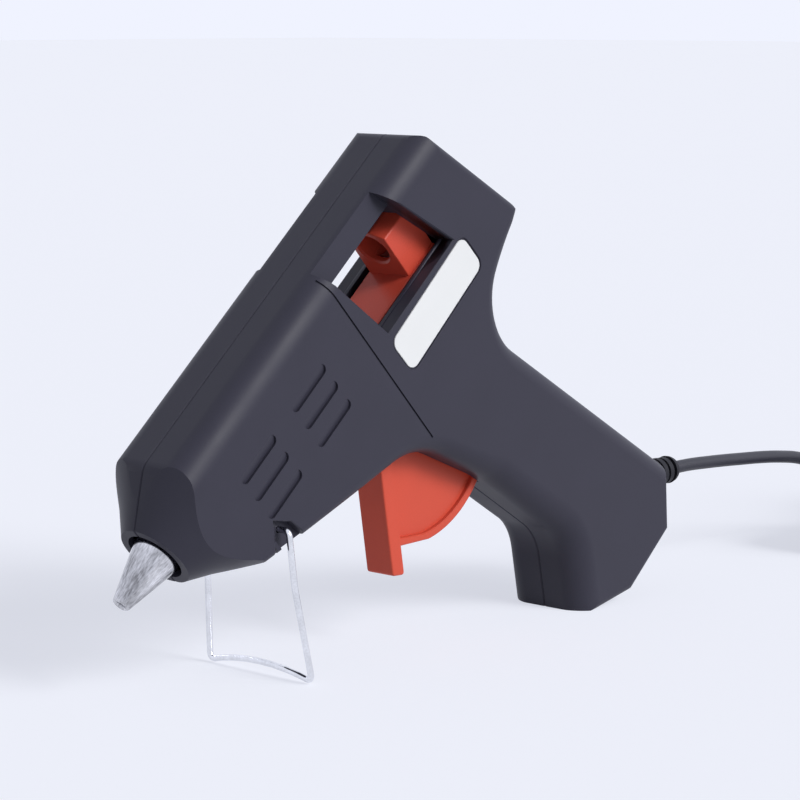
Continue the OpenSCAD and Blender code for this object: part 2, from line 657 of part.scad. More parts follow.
// Rings carried along a path without twist, joined into one solid
function way(p, i) = unit(p[min(i + 1, len(p) - 1)] - p[max(i - 1, 0)]);
function sideways(v) = unit(cross(v, abs(v[1]) < 0.8 ? [0, 1, 0] : [1, 0, 0]));
function carried(p) = [for (i = 0, n = sideways(way(p, 0)); i < len(p); i = i + 1,
    n = i < len(p) ? unit(n - (n * way(p, i)) * way(p, i)) : n) n];
module sweep(p, r, sides = 8) {
    n = carried(p);
    last = len(p) - 1;
    polyhedron(
        [for (i = [0:last]) for (k = [0:sides - 1])
            p[i] + r * (cos(360 * k / sides) * n[i] + sin(360 * k / sides) * cross(way(p, i), n[i]))],
        concat(
            [for (i = [0:last - 1]) for (k = [0:sides - 1]) let (j = (k + 1) % sides)
                [i * sides + k, (i + 1) * sides + k, (i + 1) * sides + j, i * sides + j]],
            [[for (k = [0:sides - 1]) k]],
            [[for (k = [sides - 1:-1:0]) last * sides + k]]));
}
module return_spring() color("#b5b8bd") stand_up() sweep(concat(
    hook_points(ear_at, hook_r, 60, 330),
    coil_points(ear_at[0] + 3.4, post_at[0] - 3.4, ear_at[1], spring_r, spring_turns),
    hook_points(post_at, hook_r, 150, -120)), spring_wire, 6);

// ---- stand wire ----
stand_dir = unit(foot - stand_at);
near_bend = [29, -27];           // where the leg leaves the side of the casing
bend_y = leg_y + 0.55;
foot_y = foot_w / 2;
tail_len = 4;
leg_points = [[stand_at[0], leg_y, stand_at[1]], [near_bend[0], bend_y, near_bend[1]],
    [foot[0] - 1.5 * stand_dir[0], foot_y, foot[1] - 1.5 * stand_dir[1]],
        [foot[0] - 0.4 * stand_dir[0], foot_y - 0.4, foot[1] - 0.4 * stand_dir[1]]];
wire_path = concat([for (p = leg_points) [p[0], -p[1], p[2]]], [for (s = [-0.9:0.2:0.95]) on_bar(s)],
    [for (i = [len(leg_points) - 1:-1:0]) leg_points[i]]);
elbow = 1.03;                    // bends swell a little
function on_bar(s) = let (rise = bar_rise * (1 - s * s)) [foot[0] - rise * stand_dir[0], s * foot_y,
    foot[1] - rise * stand_dir[1]];
module rod(p, q, r) translate(p) rotate([0, acos((q - p)[2] / norm(q - p)), atan2((q - p)[1], (q - p)[0])])
    cylinder(r = r, h = norm(q - p));
module stand_wire() color("#c9cbce") stand_up() {
    both_sides() {
        rod([stand_at[0] - tail_len * stand_dir[0], tail_y, stand_at[1] - tail_len * stand_dir[1]],
            [stand_at[0], tail_y, stand_at[1]], wire_r);
        pin(stand_at, wire_r, tail_y, leg_y);
        for (y = [tail_y, leg_y]) at(stand_at[0], stand_at[1], y) sphere(wire_r * elbow);
    }
    sweep(wire_path, wire_r, 12);
}

// ---- mains lead ----
lead_r = 0.6;
crimp_at = [118, -84];
crimp_len = 9;
crimp_r = 1.4;
crimp_y = 2;
tail_bend = [119, -97];
heater_end = heater_at + heater_len + 1;
lead_way = [[4, -13.5, 5.5], [8, -16, lead_half], [13, -20, 8.3], [23, -26, 8.6], [33, -31, 8.6],
    [42, -31.5, 8.6],
    [51, -35, 8], [57, -42, 7], [60, -52, 6], [62.5, -70, 3.5]];
module heater_leads() color("#d9d4c8") stand_up() for (s = [-1, 1]) {
    top = s > 0 ? upper_plate : lower_plate;
    sweep(concat(
        [[heater_end, s * 2.5, top - plate_t - lead_r - 0.02]],
        [for (p = lead_way) [heater_end + p[0] - 1, s * p[2], p[1]]],
        [[crimp_at[0], s * crimp_y, crimp_at[1] + lead_r / 4]]), lead_r, 8);
}
module crimp_sleeves() color("#c9cbce") stand_up() for (s = [-1, 1])
    at(crimp_at[0], crimp_at[1] - crimp_len, s * crimp_y) cylinder(r = crimp_r, h = crimp_len);
module cord_tail() color("#1d1d1f") stand_up() {
    top = crimp_at[1] - crimp_len - 0.6 * lead_r;   // clear of the slanting end of each core
    for (s = [-1, 1]) rod([crimp_at[0], s * crimp_y, top], [tail_bend[0], 0, tail_bend[1]], lead_r);
    inner = clamp_at - 6 * exit_dir;
    rod([tail_bend[0], 0, tail_bend[1]], [inner[0], 0, inner[1]], cord_r);
    at(tail_bend[0], tail_bend[1]) sphere(cord_r * elbow);
    at(inner[0], inner[1]) sphere(cord_r * elbow);
    rod([inner[0], 0, inner[1]], [relief_end[0], 0, relief_end[1]], cord_r);
}
clamp_top = cord_r + 1.6;
module cord_clamp() color("#2b2b2f") stand_up() clamp_frame() difference() {
    block([-2.6, 2.6], [seam_gap / 2, clamp_top], [-clamp_reach - 2.4, clamp_reach + 2.4]);
    bar(cord_r + 0.02, -4, 4);
    for (s = [-1, 1]) pin([0, s * clamp_reach], clamp_screw_r + pin_gap, -1, clamp_top + 1);
}
module clamp_screws() color("#8a8d92") stand_up() clamp_frame() for (s = [-1, 1]) {
    pin([0, s * clamp_reach], clamp_screw_r, -clamp_deep, clamp_top + slip);
    pin([0, s * clamp_reach], clamp_screw_r + 1, clamp_top, clamp_top + 1.3);
}
module strain_relief() color("#1d1d1f") stand_up() relief_frame() {
    base_r = relief_neck_r + 0.6;
    groove = 0.7;
    difference() {
        turned([
            [-wall - 2, cord_r + 0.02], [-wall - 2, relief_flange_r], [-wall - 0.05, relief_flange_r],
            [-wall - 0.05, relief_neck_r], [0.02, relief_neck_r], [0.02, base_r],
            [relief_len - 5, base_r - 1.05], [relief_len - 1.2, base_r - 1.4], [relief_len, cord_r + 0.5],
            [relief_len, cord_r + 0.02]]);
        for (a = [3:2.6:relief_len - 3]) turned([[a, base_r - 1.5], [a + 1, base_r - 1.5],
            [a + 1, base_r + 1], [a, base_r + 1]]);
    }
}

// Route of the free cord in the row frame, from the strain relief down to the coil
cord_start = [across(relief_end) - x_mid, 0, upward(relief_end) + lift];
cord_route = [[107, 0, 29.9], [115, 0, 29.6], [123, 0, 29.2], [131, 0, 28.7], [140, 0, 28.1],
    [149, 0, 27.2], [158, 0.2, 25.8], [167, 0.6, 23.2], [176, 1, 19.3], [184, 1.2, 14.8],
    [191, 1.2, 10.4], [198, 1.2, 6.4], [205, 0.4, 3.4], [212, -0.3, 2]];
// Hank: an oval of turns lying on each other, in line with the gun
hank_at = [165, -16];            // centre of its near end
hank_top = hank_layers * hank_pitch;
tie_t = 0.8;
tie_w = 6;
tie_at = 18;                     // along the hank, from its near end
plug_w = 27;
plug_t = 13.6;
plug_len = 32;
plug_neck = 12;
plug_pin_r = 2;
plug_pin_len = 19;
plug_pitch = 18.6;
plug_at = [200, -12, hank_top + plug_t / 2];
tail_route = [[hank_at[0], hank_at[1] + hank_r, hank_top - cord_r], [172, -4.7, 17.1], [179, -6.7, 19.3],
    [186, -9.3, 21.9], [193, -11.4, 24.1], plug_at];
module cord() color("#1d1d1f") {
    sweep(concat([cord_start], cord_route), cord_r, 8);
    sweep(tail_route, cord_r, 8);
}
// an oval about the two ends of the hank
module oval(r) {
    circle(r);
    translate([hank_run, 0]) circle(r);
    translate([0, -r]) square([hank_run, 2 * r]);
}
module cord_coil() color("#1d1d1f") translate([hank_at[0], hank_at[1], 0]) difference() {
    linear_extrude(hank_top) oval(hank_r + cord_r);
    translate([0, 0, -1]) linear_extrude(hank_top + 2) oval(hank_r - cord_r);
}
// the tie goes round both runs of the hank, just above the floor
module cord_tie() color("#2c2c2e") translate([hank_at[0] + tie_at, hank_at[1], 0]) {
    reach = hank_r + cord_r + slip;
    difference() {
        translate([0, -reach - tie_t, 0.05]) cube([tie_w, 2 * (reach + tie_t), hank_top + tie_t]);
        translate([-1, -reach, -1]) cube([tie_w + 2, 2 * reach, hank_top + 1 + slip]);
    }
}
// The plug lies on the hank and points along +X
module plug_frame() translate(plug_at) children();
module plug_body() color("#1d1d1f") plug_frame() {
    turned([[0, 0], [0, cord_r + 0.6], [plug_neck, 4.5], [plug_neck, 0]]);
    difference() {
        intersection() {
            translate([plug_neck, 0, -plug_t / 2]) linear_extrude(plug_t) polygon([
                [0, -6], [plug_len * 0.45, -plug_w / 2], [plug_len, -plug_w / 2], [plug_len, plug_w / 2],
                [plug_len * 0.45, plug_w / 2], [0, 6]]);
            translate([plug_neck, 0, 0]) rotate([90, 0, 90]) linear_extrude(plug_len)
                rounded(plug_w, plug_t, 3);
        }
        for (s = [-1, 1]) translate([0, s * plug_pitch / 2, 0])
            bar(plug_pin_r - 0.4 + pin_gap, plug_neck + plug_len - 6, plug_neck + plug_len + 1);
    }
}
module plug_pins() color("#c9cbce") plug_frame() for (s = [-1, 1]) translate([0, s * plug_pitch / 2, 0]) {
    bar(plug_pin_r - 0.4, plug_neck + plug_len - 6, plug_neck + plug_len + slip);
    bar(plug_pin_r, plug_neck + plug_len, plug_neck + plug_len + plug_pin_len);
}

left_shell();
right_shell();
shell_screws();
rating_label();
nozzle();
valve_ball();
valve_spring();
heating_chamber();
heater_element();
heater_electrodes();
heater_insulation();
heater_clip();
chamber_front_ring();
chamber_rear_ring();
stick_sleeve();
sleeve_clamp();
stick_guide();
feed_carriage();
grip_jaw();
jaw_pin();
trigger();
trigger_pin();
drive_pin();
return_spring();
stand_wire();
heater_leads();
crimp_sleeves();
cord_tail();
cord_clamp();
clamp_screws();
strain_relief();
cord();
cord_coil();
cord_tie();
plug_body();
plug_pins();
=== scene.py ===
import json
import math
import bpy
import bmesh
from mathutils import Matrix, Vector


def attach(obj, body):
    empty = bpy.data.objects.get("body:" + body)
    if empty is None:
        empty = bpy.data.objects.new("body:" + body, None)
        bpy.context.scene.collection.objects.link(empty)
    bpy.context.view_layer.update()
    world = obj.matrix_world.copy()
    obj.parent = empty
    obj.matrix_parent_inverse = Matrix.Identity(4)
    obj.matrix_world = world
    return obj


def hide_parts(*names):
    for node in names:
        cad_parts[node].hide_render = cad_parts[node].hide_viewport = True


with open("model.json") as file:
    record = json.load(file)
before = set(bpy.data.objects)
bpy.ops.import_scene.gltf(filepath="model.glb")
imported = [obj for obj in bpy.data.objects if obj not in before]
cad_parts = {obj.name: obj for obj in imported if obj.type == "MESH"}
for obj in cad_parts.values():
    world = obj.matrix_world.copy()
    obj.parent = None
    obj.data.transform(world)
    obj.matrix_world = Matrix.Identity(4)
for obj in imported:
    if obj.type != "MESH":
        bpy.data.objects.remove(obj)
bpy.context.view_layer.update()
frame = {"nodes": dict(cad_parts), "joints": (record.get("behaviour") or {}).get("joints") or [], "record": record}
nodes = frame["nodes"]
joints = {joint["name"]: joint for joint in frame["joints"]}
mm = 0.001
print("frame loaded:", len(nodes), "nodes")

# the gun's own frame: along the barrel from the nozzle tip, across, and up square to it
along = -Vector(joints["carriage_feed"]["axis"]).normalized()
across = Vector((0, 1, 0))
upward = along.cross(across)
triggerPivot = (86.0, -38.0)
pivotInGun = along * triggerPivot[0] + upward * triggerPivot[1]
origin = Vector(joints["trigger_pull"]["pos_m"]) - pivotInGun * mm
gunAxes = Matrix((along, across, upward)).transposed().to_4x4()
gunToFrame = Matrix.Translation(origin) @ gunAxes @ Matrix.Scale(mm, 4)


def inFrame(a, y, h):
    return gunToFrame @ Vector((a, y, h))


def inMetres(points):
    return [Vector(p) * mm for p in points]


# camera, in millimetres of the shared frame
view = {"target": (-7.99, 0.0, 59.19), "distance": 674.0, "towards": (-0.7209, -0.6792, 0.1371),
        "lens": 125.8, "sensor": 36}


def addCamera():
    camera = bpy.data.cameras.new("camera")
    camera.lens = view["lens"]
    camera.sensor_width = view["sensor"]
    camera.clip_start = 10 * mm
    holder = bpy.data.objects.new("camera", camera)
    bpy.context.scene.collection.objects.link(holder)
    towards = Vector(view["towards"]).normalized()
    holder.location = (Vector(view["target"]) + towards * view["distance"]) * mm
    holder.rotation_euler = (-towards).to_track_quat("-Z", "Y").to_euler()
    bpy.context.scene.camera = holder


addCamera()


# finishes: the noise between these two values is ramped, and grainShare of it is fine grain
noiseRange = (0.3, 0.7)
grainShare = 0.4


def addNoise(tree, vector, scale, detail):
    texture = tree.nodes.new("ShaderNodeTexNoise")
    texture.inputs["Scale"].default_value = scale
    texture.inputs["Detail"].default_value = detail
    tree.links.new(vector, texture.inputs["Vector"])
    return texture.outputs["Fac"]


def addMath(tree, operation, first, second, third=None):
    node = tree.nodes.new("ShaderNodeMath")
    node.operation = operation
    for value, slot in zip((first, second, third), node.inputs):
        if isinstance(value, float):
            slot.default_value = value
        elif value:
            tree.links.new(value, slot)
    return node.outputs[0]


def addRamp(tree, factor, low, high, positions=(0, 1)):
    ramp = tree.nodes.new("ShaderNodeValToRGB")
    for stop, colour, position in zip(ramp.color_ramp.elements, (low, high), positions):
        stop.position = position
        stop.color = (*colour, 1)
    tree.links.new(factor, ramp.inputs["Fac"])
    return ramp.outputs["Color"]


# the stretch along the barrel pulls the pattern into lengthwise streaks, which on the nozzle are painted
# reflection bands; patch and grain are noise scales, and bump is in millimetres
def finish(name, base, spread=0.1, roughness=(0.4, 0.5), patch=70, grain=2200, bump=0.02,
           metallic=0.0, specular=0.5, coat=0.0, paintedReflectionStretch=1.0):
    material = bpy.data.materials.new(name)
    material.use_nodes = True
    tree = material.node_tree
    link = tree.links.new
    shader = tree.nodes["Principled BSDF"]
    place = tree.nodes.new("ShaderNodeTexCoord")
    mapped = tree.nodes.new("ShaderNodeMapping")
    mapped.vector_type = "TEXTURE"
    mapped.inputs["Rotation"].default_value = (0, -math.atan2(along.z, along.x), 0)
    mapped.inputs["Scale"].default_value = (paintedReflectionStretch, 1, 1)
    link(place.outputs["Object"], mapped.inputs["Vector"])
    broad = addNoise(tree, mapped.outputs["Vector"], patch, 4)
    fine = addNoise(tree, mapped.outputs["Vector"], grain, 3)
    broadPart = addMath(tree, "MULTIPLY", broad, 1 - grainShare)
    mottle = addMath(tree, "MULTIPLY_ADD", fine, grainShare, broadPart)
    dark = [c * (1 - spread) for c in base]
    pale = [min(c * (1 + spread), 1) for c in base]
    # on the nozzle this ramp, stretched along the barrel, paints lengthwise bands of reflection into the base
    # colour
    link(addRamp(tree, mottle, dark, pale, noiseRange), shader.inputs["Base Color"])
    rough = tree.nodes.new("ShaderNodeMapRange")
    rough.inputs["From Min"].default_value, rough.inputs["From Max"].default_value = noiseRange
    rough.inputs["To Min"].default_value, rough.inputs["To Max"].default_value = roughness
    link(broad, rough.inputs["Value"])
    link(rough.outputs["Result"], shader.inputs["Roughness"])
    dents = tree.nodes.new("ShaderNodeBump")
    dents.inputs["Strength"].default_value = 1
    dents.inputs["Distance"].default_value = bump * mm
    link(fine, dents.inputs["Height"])
    link(dents.outputs["Normal"], shader.inputs["Normal"])
    shader.inputs["Metallic"].default_value = metallic
    shader.inputs["Specular IOR Level"].default_value = specular
    shader.inputs["Coat Weight"].default_value = coat
    return material


looks = {
    "casing": dict(base=(0.036, 0.035, 0.052), spread=0.06, roughness=(0.42, 0.50), grain=2600, bump=0.014,
                   specular=0.2),
    "screw_steel": dict(base=(0.5, 0.5, 0.52), spread=0.15, roughness=(0.3, 0.45), metallic=1, bump=0.01),
    "label": dict(base=(0.74, 0.75, 0.76), spread=0.02, roughness=(0.35, 0.45), grain=3000, bump=0.004),
    # the nozzle's strong lengthwise light and dark colour bands are painted reflection, not the metal's own colour
    "nozzle_metal": dict(base=(0.50, 0.50, 0.52), spread=0.8, roughness=(0.05, 0.14), patch=330, grain=2600,
                         bump=0.003, metallic=1, paintedReflectionStretch=60),
    "bright_steel": dict(base=(0.7, 0.7, 0.72), spread=0.08, roughness=(0.15, 0.25), metallic=1, bump=0.004),
    "spring_steel": dict(base=(0.55, 0.55, 0.57), roughness=(0.25, 0.35), metallic=1, bump=0.004),
    "chamber_metal": dict(base=(0.62, 0.62, 0.64), spread=0.12, roughness=(0.4, 0.55), metallic=1, bump=0.03),
    "heater_ceramic": dict(base=(0.12, 0.12, 0.13), spread=0.2, roughness=(0.7, 0.85), bump=0.03),
    "electrode_brass": dict(base=(0.72, 0.52, 0.25), roughness=(0.25, 0.4), metallic=1),
    "amber_film": dict(base=(0.62, 0.32, 0.08), spread=0.15, roughness=(0.15, 0.25), coat=0.4),
    "silicone": dict(base=(0.5, 0.09, 0.06), roughness=(0.5, 0.6)),
    "guide_plastic": dict(base=(0.05, 0.05, 0.055)),
    "carriage_plastic": dict(base=(0.60, 0.072, 0.042), spread=0.08, roughness=(0.34, 0.44), bump=0.01,
                             specular=0.3),
    "trigger_plastic": dict(base=(0.60, 0.078, 0.044), spread=0.05, roughness=(0.34, 0.44), bump=0.008,
                            specular=0.25),
    "stand_wire": dict(base=(0.80, 0.81, 0.84), spread=0.15, roughness=(0.08, 0.18), patch=300, metallic=1,
                       bump=0.004),
    "lead_sleeving": dict(base=(0.75, 0.72, 0.66), spread=0.12, roughness=(0.7, 0.85), bump=0.04),
    "cord_rubber": dict(base=(0.020, 0.020, 0.031), spread=0.15, roughness=(0.38, 0.5), bump=0.012),
    "relief_rubber": dict(base=(0.013, 0.013, 0.019), spread=0.15, roughness=(0.5, 0.62), bump=0.012,
                          specular=0.25),
    "tie_strap": dict(base=(0.03, 0.03, 0.032), spread=0.3, roughness=(0.8, 0.95), grain=1800, bump=0.12),
    "plug_plastic": dict(base=(0.028, 0.028, 0.031), spread=0.12, bump=0.015),
    "plug_metal": dict(base=(0.72, 0.70, 0.66), spread=0.08, roughness=(0.18, 0.28), metallic=1, bump=0.004),
}
materials = {name: finish(name, **look) for name, look in looks.items()}

for part in frame["record"]["subparts"]:
    node = nodes[part["node"]]
    node.data.materials.clear()
    node.data.materials.append(materials[part["material_slot"]])
    node.data.shade_smooth()
    node.data.set_sharp_from_angle(angle=math.radians(30))
print("finishes made:", len(materials))


# mesh tools, in the gun's millimetres
def newObject(name, points, faces):
    mesh = bpy.data.meshes.new(name)
    mesh.from_pydata([tuple(p) for p in points], [], faces)
    thing = bpy.data.objects.new(name, mesh)
    bpy.context.scene.collection.objects.link(thing)
    form = bmesh.new()
    form.from_mesh(mesh)
    bmesh.ops.recalc_face_normals(form, faces=form.faces)
    form.to_mesh(mesh)
    form.free()
    return thing


def loftRings(name, rings, closedEnds=True, around=False):
    count = len(rings[0])
    points = [p for ring in rings for p in ring]
    faces = []
    last = len(rings) if around else len(rings) - 1
    for i in range(last):
        j = (i + 1) % len(rings)
        for k in range(count):
            m = (k + 1) % count
            faces.append((i * count + k, i * count + m, j * count + m, j * count + k))
    if closedEnds and not around:
        faces.append(tuple(range(count)))
        faces.append(tuple((len(rings) - 1) * count + k for k in range(count)))
    return newObject(name, points, faces)


def atLevel(points, y):
    return [(p[0], y, p[1]) for p in points]


def prism(points, low, high):
    return loftRings("cutter", [atLevel(points, low), atLevel(points, high)])


def area(points):
    return sum(p[0] * q[1] - q[0] * p[1] for p, q in zip(points, points[1:] + points[:1])) / 2


def grown(points, by):
    if area(points) < 0:
        points = points[::-1]
    result = []
    for i, p in enumerate(points):
        before = (Vector(p) - Vector(points[i - 1])).normalized()
        after = (Vector(points[(i + 1) % len(points)]) - Vector(p)).normalized()
        left = Vector((-before.y, before.x)) + Vector((-after.y, after.x))
        result.append(tuple(Vector(p) - left * by / (1 + before.dot(after))))
    return result


# a cutter from low to past the surface, with a small chamfer where it comes out
def flared(points, low, surface, flare=0.25):
    points = grown(points, 0)
    mouth = grown(points, flare)
    return loftRings("cutter", [atLevel(points, low), atLevel(points, surface - flare),
                                atLevel(mouth, surface), atLevel(mouth, surface + 2)])


def lathe(name, profile, segments=64):
    rings = []
    for k in range(segments):
        turn = 2 * math.pi * k / segments
        rings.append([(a, r * math.sin(turn), r * math.cos(turn)) for a, r in profile])
    return loftRings(name, rings, around=True)


def rod(radius, start, end, segments=48):
    start, end = Vector(start), Vector(end)
    direction = (end - start).normalized()
    side = direction.orthogonal().normalized()
    other = direction.cross(side)
    rings = []
    for place in (start, end):
        rings.append([place + radius * (math.cos(t) * side + math.sin(t) * other)
                      for t in (2 * math.pi * k / segments for k in range(segments))])
    return loftRings("cutter", rings)


def block(a, y, h):
    return prism([(a[0], h[0]), (a[1], h[0]), (a[1], h[1]), (a[0], h[1])], y[0], y[1])


def carve(target, tools, operation="DIFFERENCE"):
    bag = bpy.data.collections.new("tools")
    bpy.context.scene.collection.children.link(bag)
    for tool in tools:
        bpy.context.scene.collection.objects.unlink(tool)
        bag.objects.link(tool)
    modifier = target.modifiers.new("carve", "BOOLEAN")
    modifier.operation = operation
    modifier.solver = "EXACT"
    modifier.operand_type = "COLLECTION"
    modifier.collection = bag
    evaluated = target.evaluated_get(bpy.context.evaluated_depsgraph_get())
    mesh = bpy.data.meshes.new_from_object(evaluated)
    target.modifiers.clear()
    target.data = mesh
    for tool in tools:
        bpy.data.objects.remove(tool)
    bpy.data.collections.remove(bag)
    return target


def mirrored(thing):
    thing.data.transform(Matrix.Scale(-1, 4, (0, 1, 0)))
    thing.data.flip_normals()
    return thing


# points closer than this are one, in metres
weld = 0.000002


def dress(thing, name, slotName, body, replaced, sharpAngle=30, weighted=True, matrix=None):
    thing.name = name
    thing.data.name = name
    thing.data.transform(matrix or gunToFrame)
    form = bmesh.new()
    form.from_mesh(thing.data)
    bmesh.ops.remove_doubles(form, verts=form.verts, dist=weld)
    bmesh.ops.dissolve_degenerate(form, edges=form.edges, dist=weld)
    form.to_mesh(thing.data)
    form.free()
    for vertex in thing.data.vertices:
        vertex.co.z = max(vertex.co.z, 0)
    thing.data.shade_smooth()
    thing.data.set_sharp_from_angle(angle=math.radians(sharpAngle))
    if weighted:
        modifier = thing.modifiers.new("weighted", "WEIGHTED_NORMAL")
        modifier.keep_sharp = True
    thing.data.materials.clear()
    thing.data.materials.append(materials[slotName])
    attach(thing, body)
    if replaced:
        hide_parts(*replaced)
    return thing


def arc(centre, radius, start, end, steps):
    turns = [math.radians(start + (end - start) * k / steps) for k in range(steps + 1)]
    return [(centre[0] + radius * math.cos(turn), centre[1] + radius * math.sin(turn)) for turn in turns]


# casing, in the gun's millimetres
sharpest = 0.3
casing = {"halfWidth": 13.0, "wall": 2.0, "seam": 0.03, "seamBevel": 0.32, "topEdge": 6.5, "arcStep": 5.0}
top = 17.5
rearTop = 131
rearLean = 0.3235
handleDrop = 125.3
footEnd = 128.8
handleHeel = (139.9, 13.5)


def rearAt(h):
    return rearTop + rearLean * (top - h)


# along, up, corner radius, and the edge radius where the next side starts and ends
outline = [
    (14, -9, 1, 2, 2),
    (25.8, -16.4, 4, 2, 4),
    (80.5, -36.9, 22, 5, 5.5),
    (92, -62, 30, 6.5, 7),
    (101.5, 28.3 - handleDrop, 14, 7, 7),
    (90.3, 10.2 - handleDrop, 1.5, 2, 2),
    (108, -handleDrop, 5, 2, 2),
    (footEnd, -handleDrop, 3, 2, 2),
    (handleHeel[0], handleHeel[1] - handleDrop, 3, 5, 5),
    (115.5, -32, 16, 4, 2.5),
    (rearAt(-19.6), -19.6, 4.5, 2, 2),
    (rearTop, top, 3.5, casing["topEdge"], casing["topEdge"]),
    (25.8, top, 5, casing["topEdge"], casing["topEdge"]),
    (14, 9, 1, 1, 1),
]


# the rounded corner i of the outline: its points, the normals into the casing, and both sides' directions
def corner(i, depth=0.0):
    before, here, after = (Vector(outline[(i + k) % len(outline)][:2]) for k in (-1, 0, 1))
    entering = (here - before).normalized()
    leaving = (after - here).normalized()
    turn = math.atan2(entering.x * leaving.y - entering.y * leaving.x, entering.dot(leaving))
    leftIn = Vector((-entering.y, entering.x))
    leftOut = Vector((-leaving.y, leaving.x))
    point = here + depth * (leftIn + leftOut) / (1 + entering.dot(leaving))
    radius = max(outline[i][2] - depth, sharpest) if turn > 0 else outline[i][2] + depth
    run = radius * math.tan(abs(turn) / 2)
    start = point - run * entering
    centre = start + math.copysign(radius, turn) * leftIn
    steps = max(1, round(abs(math.degrees(turn)) / casing["arcStep"]))
    places = []
    for k in range(steps + 1):
        bend = turn * k / steps
        arm = start - centre
        places.append(centre + Vector((arm.x * math.cos(bend) - arm.y * math.sin(bend),
                                       arm.x * math.sin(bend) + arm.y * math.cos(bend))))
    normals = [(centre - p).normalized() * math.copysign(1, turn) for p in places]
    return places, normals, entering, leaving


def outlinePoints(depth):
    return [tuple(p) for i in range(len(outline)) for p in corner(i, depth)[0]]


# cutter for the edge rounding along the sides first to last
rounding = {"reach": 25, "sideSteps": 8, "outside": 2.0, "beyond": 3, "smallest": 0.3}


def edgeTool(first, last, inset=0.0, segments=10):
    places, _, _, leaving = corner(first)
    left = Vector((-leaving.y, leaving.x))
    stops = [(places[-1] - leaving * rounding["reach"], left, outline[first][3])]
    for i in range(first, last + 1):
        start = corner(i)[0][-1]
        places, normals, entering, _ = corner((i + 1) % len(outline))
        here, there = outline[i][3:5]
        left = Vector((-entering.y, entering.x))
        for k in range(rounding["sideSteps"] + 1):
            part = k / rounding["sideSteps"]
            stops.append((start.lerp(places[0], part), left, here + (there - here) * part ** 2))
        if i < last:
            following = outline[i + 1][3]
            for k in range(1, len(places)):
                part = k / (len(places) - 1)
                stops.append((places[k], normals[k], there + (following - there) * part))
        else:
            stops.append((places[0] + entering * rounding["reach"], left, there))
    rings = []
    half = casing["halfWidth"] - inset
    for place, normal, radius in stops:
        radius = max(radius - inset, rounding["smallest"])
        flat = [(-rounding["outside"], half - radius)]
        for k in range(segments + 1):
            turn = math.pi / 2 * k / segments
            flat.append((radius * (1 - math.cos(turn)), half - radius * (1 - math.sin(turn))))
        flat += [(radius, half + rounding["beyond"]), (-rounding["outside"], half + rounding["beyond"])]
        points = [(place + normal * (depth + inset), y) for depth, y in flat]
        rings.append([(point.x, y, point.y) for point, y in points])
    return loftRings("edge", rings)


# cutter for the round slope behind the nozzle: along and radius, and the slope's direction
nose = {"slope": [(12, 7.5), (14, 8.9), (19.7, 13.1), (26, 18.4), (32, 24)], "sine": 0.62, "cosine": 0.78,
        "front": 5, "drop": 4, "outside": 60}


def noseTool(inset=0.0):
    shape = [(a + inset * nose["sine"], r - inset * nose["cosine"]) for a, r in nose["slope"]]
    shape[0] = (nose["front"], shape[0][1] - nose["drop"])
    return lathe("nose", shape + [(shape[-1][0], nose["outside"]), (nose["front"], nose["outside"])], 96)


# sides whose edge roundings run on into each other, first and last
edgeRuns = [(1, 4), (5, 5), (6, 6), (7, 7), (8, 9), (10, 10), (11, 11)]


def halfForm(depth):
    half = casing["halfWidth"] - depth
    if depth:
        levels = [(-1, depth), (half, depth)]
    else:
        bevel = casing["seamBevel"]
        levels = [(casing["seam"], bevel), (casing["seam"] + bevel, 0), (half, 0)]
    body = loftRings("half", [atLevel(outlinePoints(inset), y) for y, inset in levels])
    carve(body, [edgeTool(first, last, depth) for first, last in edgeRuns])
    carve(body, [noseTool(depth)])
    return body


# casing halves
window = {"front": 88.8, "frontLean": 0.2157, "rear": 117.8, "rearLean": 0.374, "low": -8.0, "high": 10.6,
          "spine": 8.2, "ledge": 9.4, "ledgeLow": -12.4, "flare": 0.25}
stand = {"pivot": (37.2, -16.1), "radius": 0.75, "bend": (29.0, -27.0), "foot": (16.6, -44.8), "footY": 17.0,
         "legY": 13.95, "bendY": 14.5, "tailY": 6.9, "tail": 4, "rise": 2.2, "bendRadius": 1.6, "hole": 0.85}
screw = {"hole": 1.55, "head": 2.8, "headSeat": 9.6, "boss": 3.6,
         "sites": [(49, -19.6), (63, 12.2), (127.5, 11.6), (129, -13.4), (104, -45),
                   (109, 15.3 - handleDrop)]}
label = {"centre": (106.8, -15.1), "length": 34.0, "height": 10.4, "corner": 2.5, "lean": 1.6, "sink": 0.35,
         "gap": 0.45}
vents = {"starts": (57.3, 35.8), "heights": (0.8, -5.0, -11.2), "length": 13.8, "height": 2.8, "depth": 0.75}
groove = {"at": (83.75, 84.25), "depth": 0.4, "low": -37.5, "turn": 56}
# solid parts inside the shells: along, across, up
ribs = [((24.8, 33.4), (-2, 14), (-22, 20)), ((52.4, 58.6), (-2, 14), (-15.5, 20))]
rearBlock = ((124.4, 150), (-2, 14), (-10, 10))
# round seats on the barrel's axis: radius, from, to
nozzleSeat = (7.0, 11, 24.8)
seats = {"nozzleFoot": (6.9, 23.8, 27.8), "chamber": (7.9, 26.8, 61), "frontRing": (9.25, 27.2, 30.2),
         "rearRing": (9.25, 55.2, 58.2), "stick": (4.3, 80.8, 123.8), "guideBore": (4.4, 123, 127),
         "guide": (6.05, 126, 134), "inlet": (4.9, 133, 142)}
# room for the carriage: along, across, up
carriageRoom = {"ring": ((111.8, 123.8), (-1, 6.7), (-9, 6)), "sled": ((68.8, 123.8), (-1, 7.4), (-10.8, -8)),
                "lugs": ((68.8, 123.8), (-1, 5.3), (-30, -8))}
triggerSlot = {"half": 4.7, "radius": 28.8}
reliefSeat = {"radius": 4.25, "inside": 6, "outside": 3}
farSide = 15          # past the casing's side

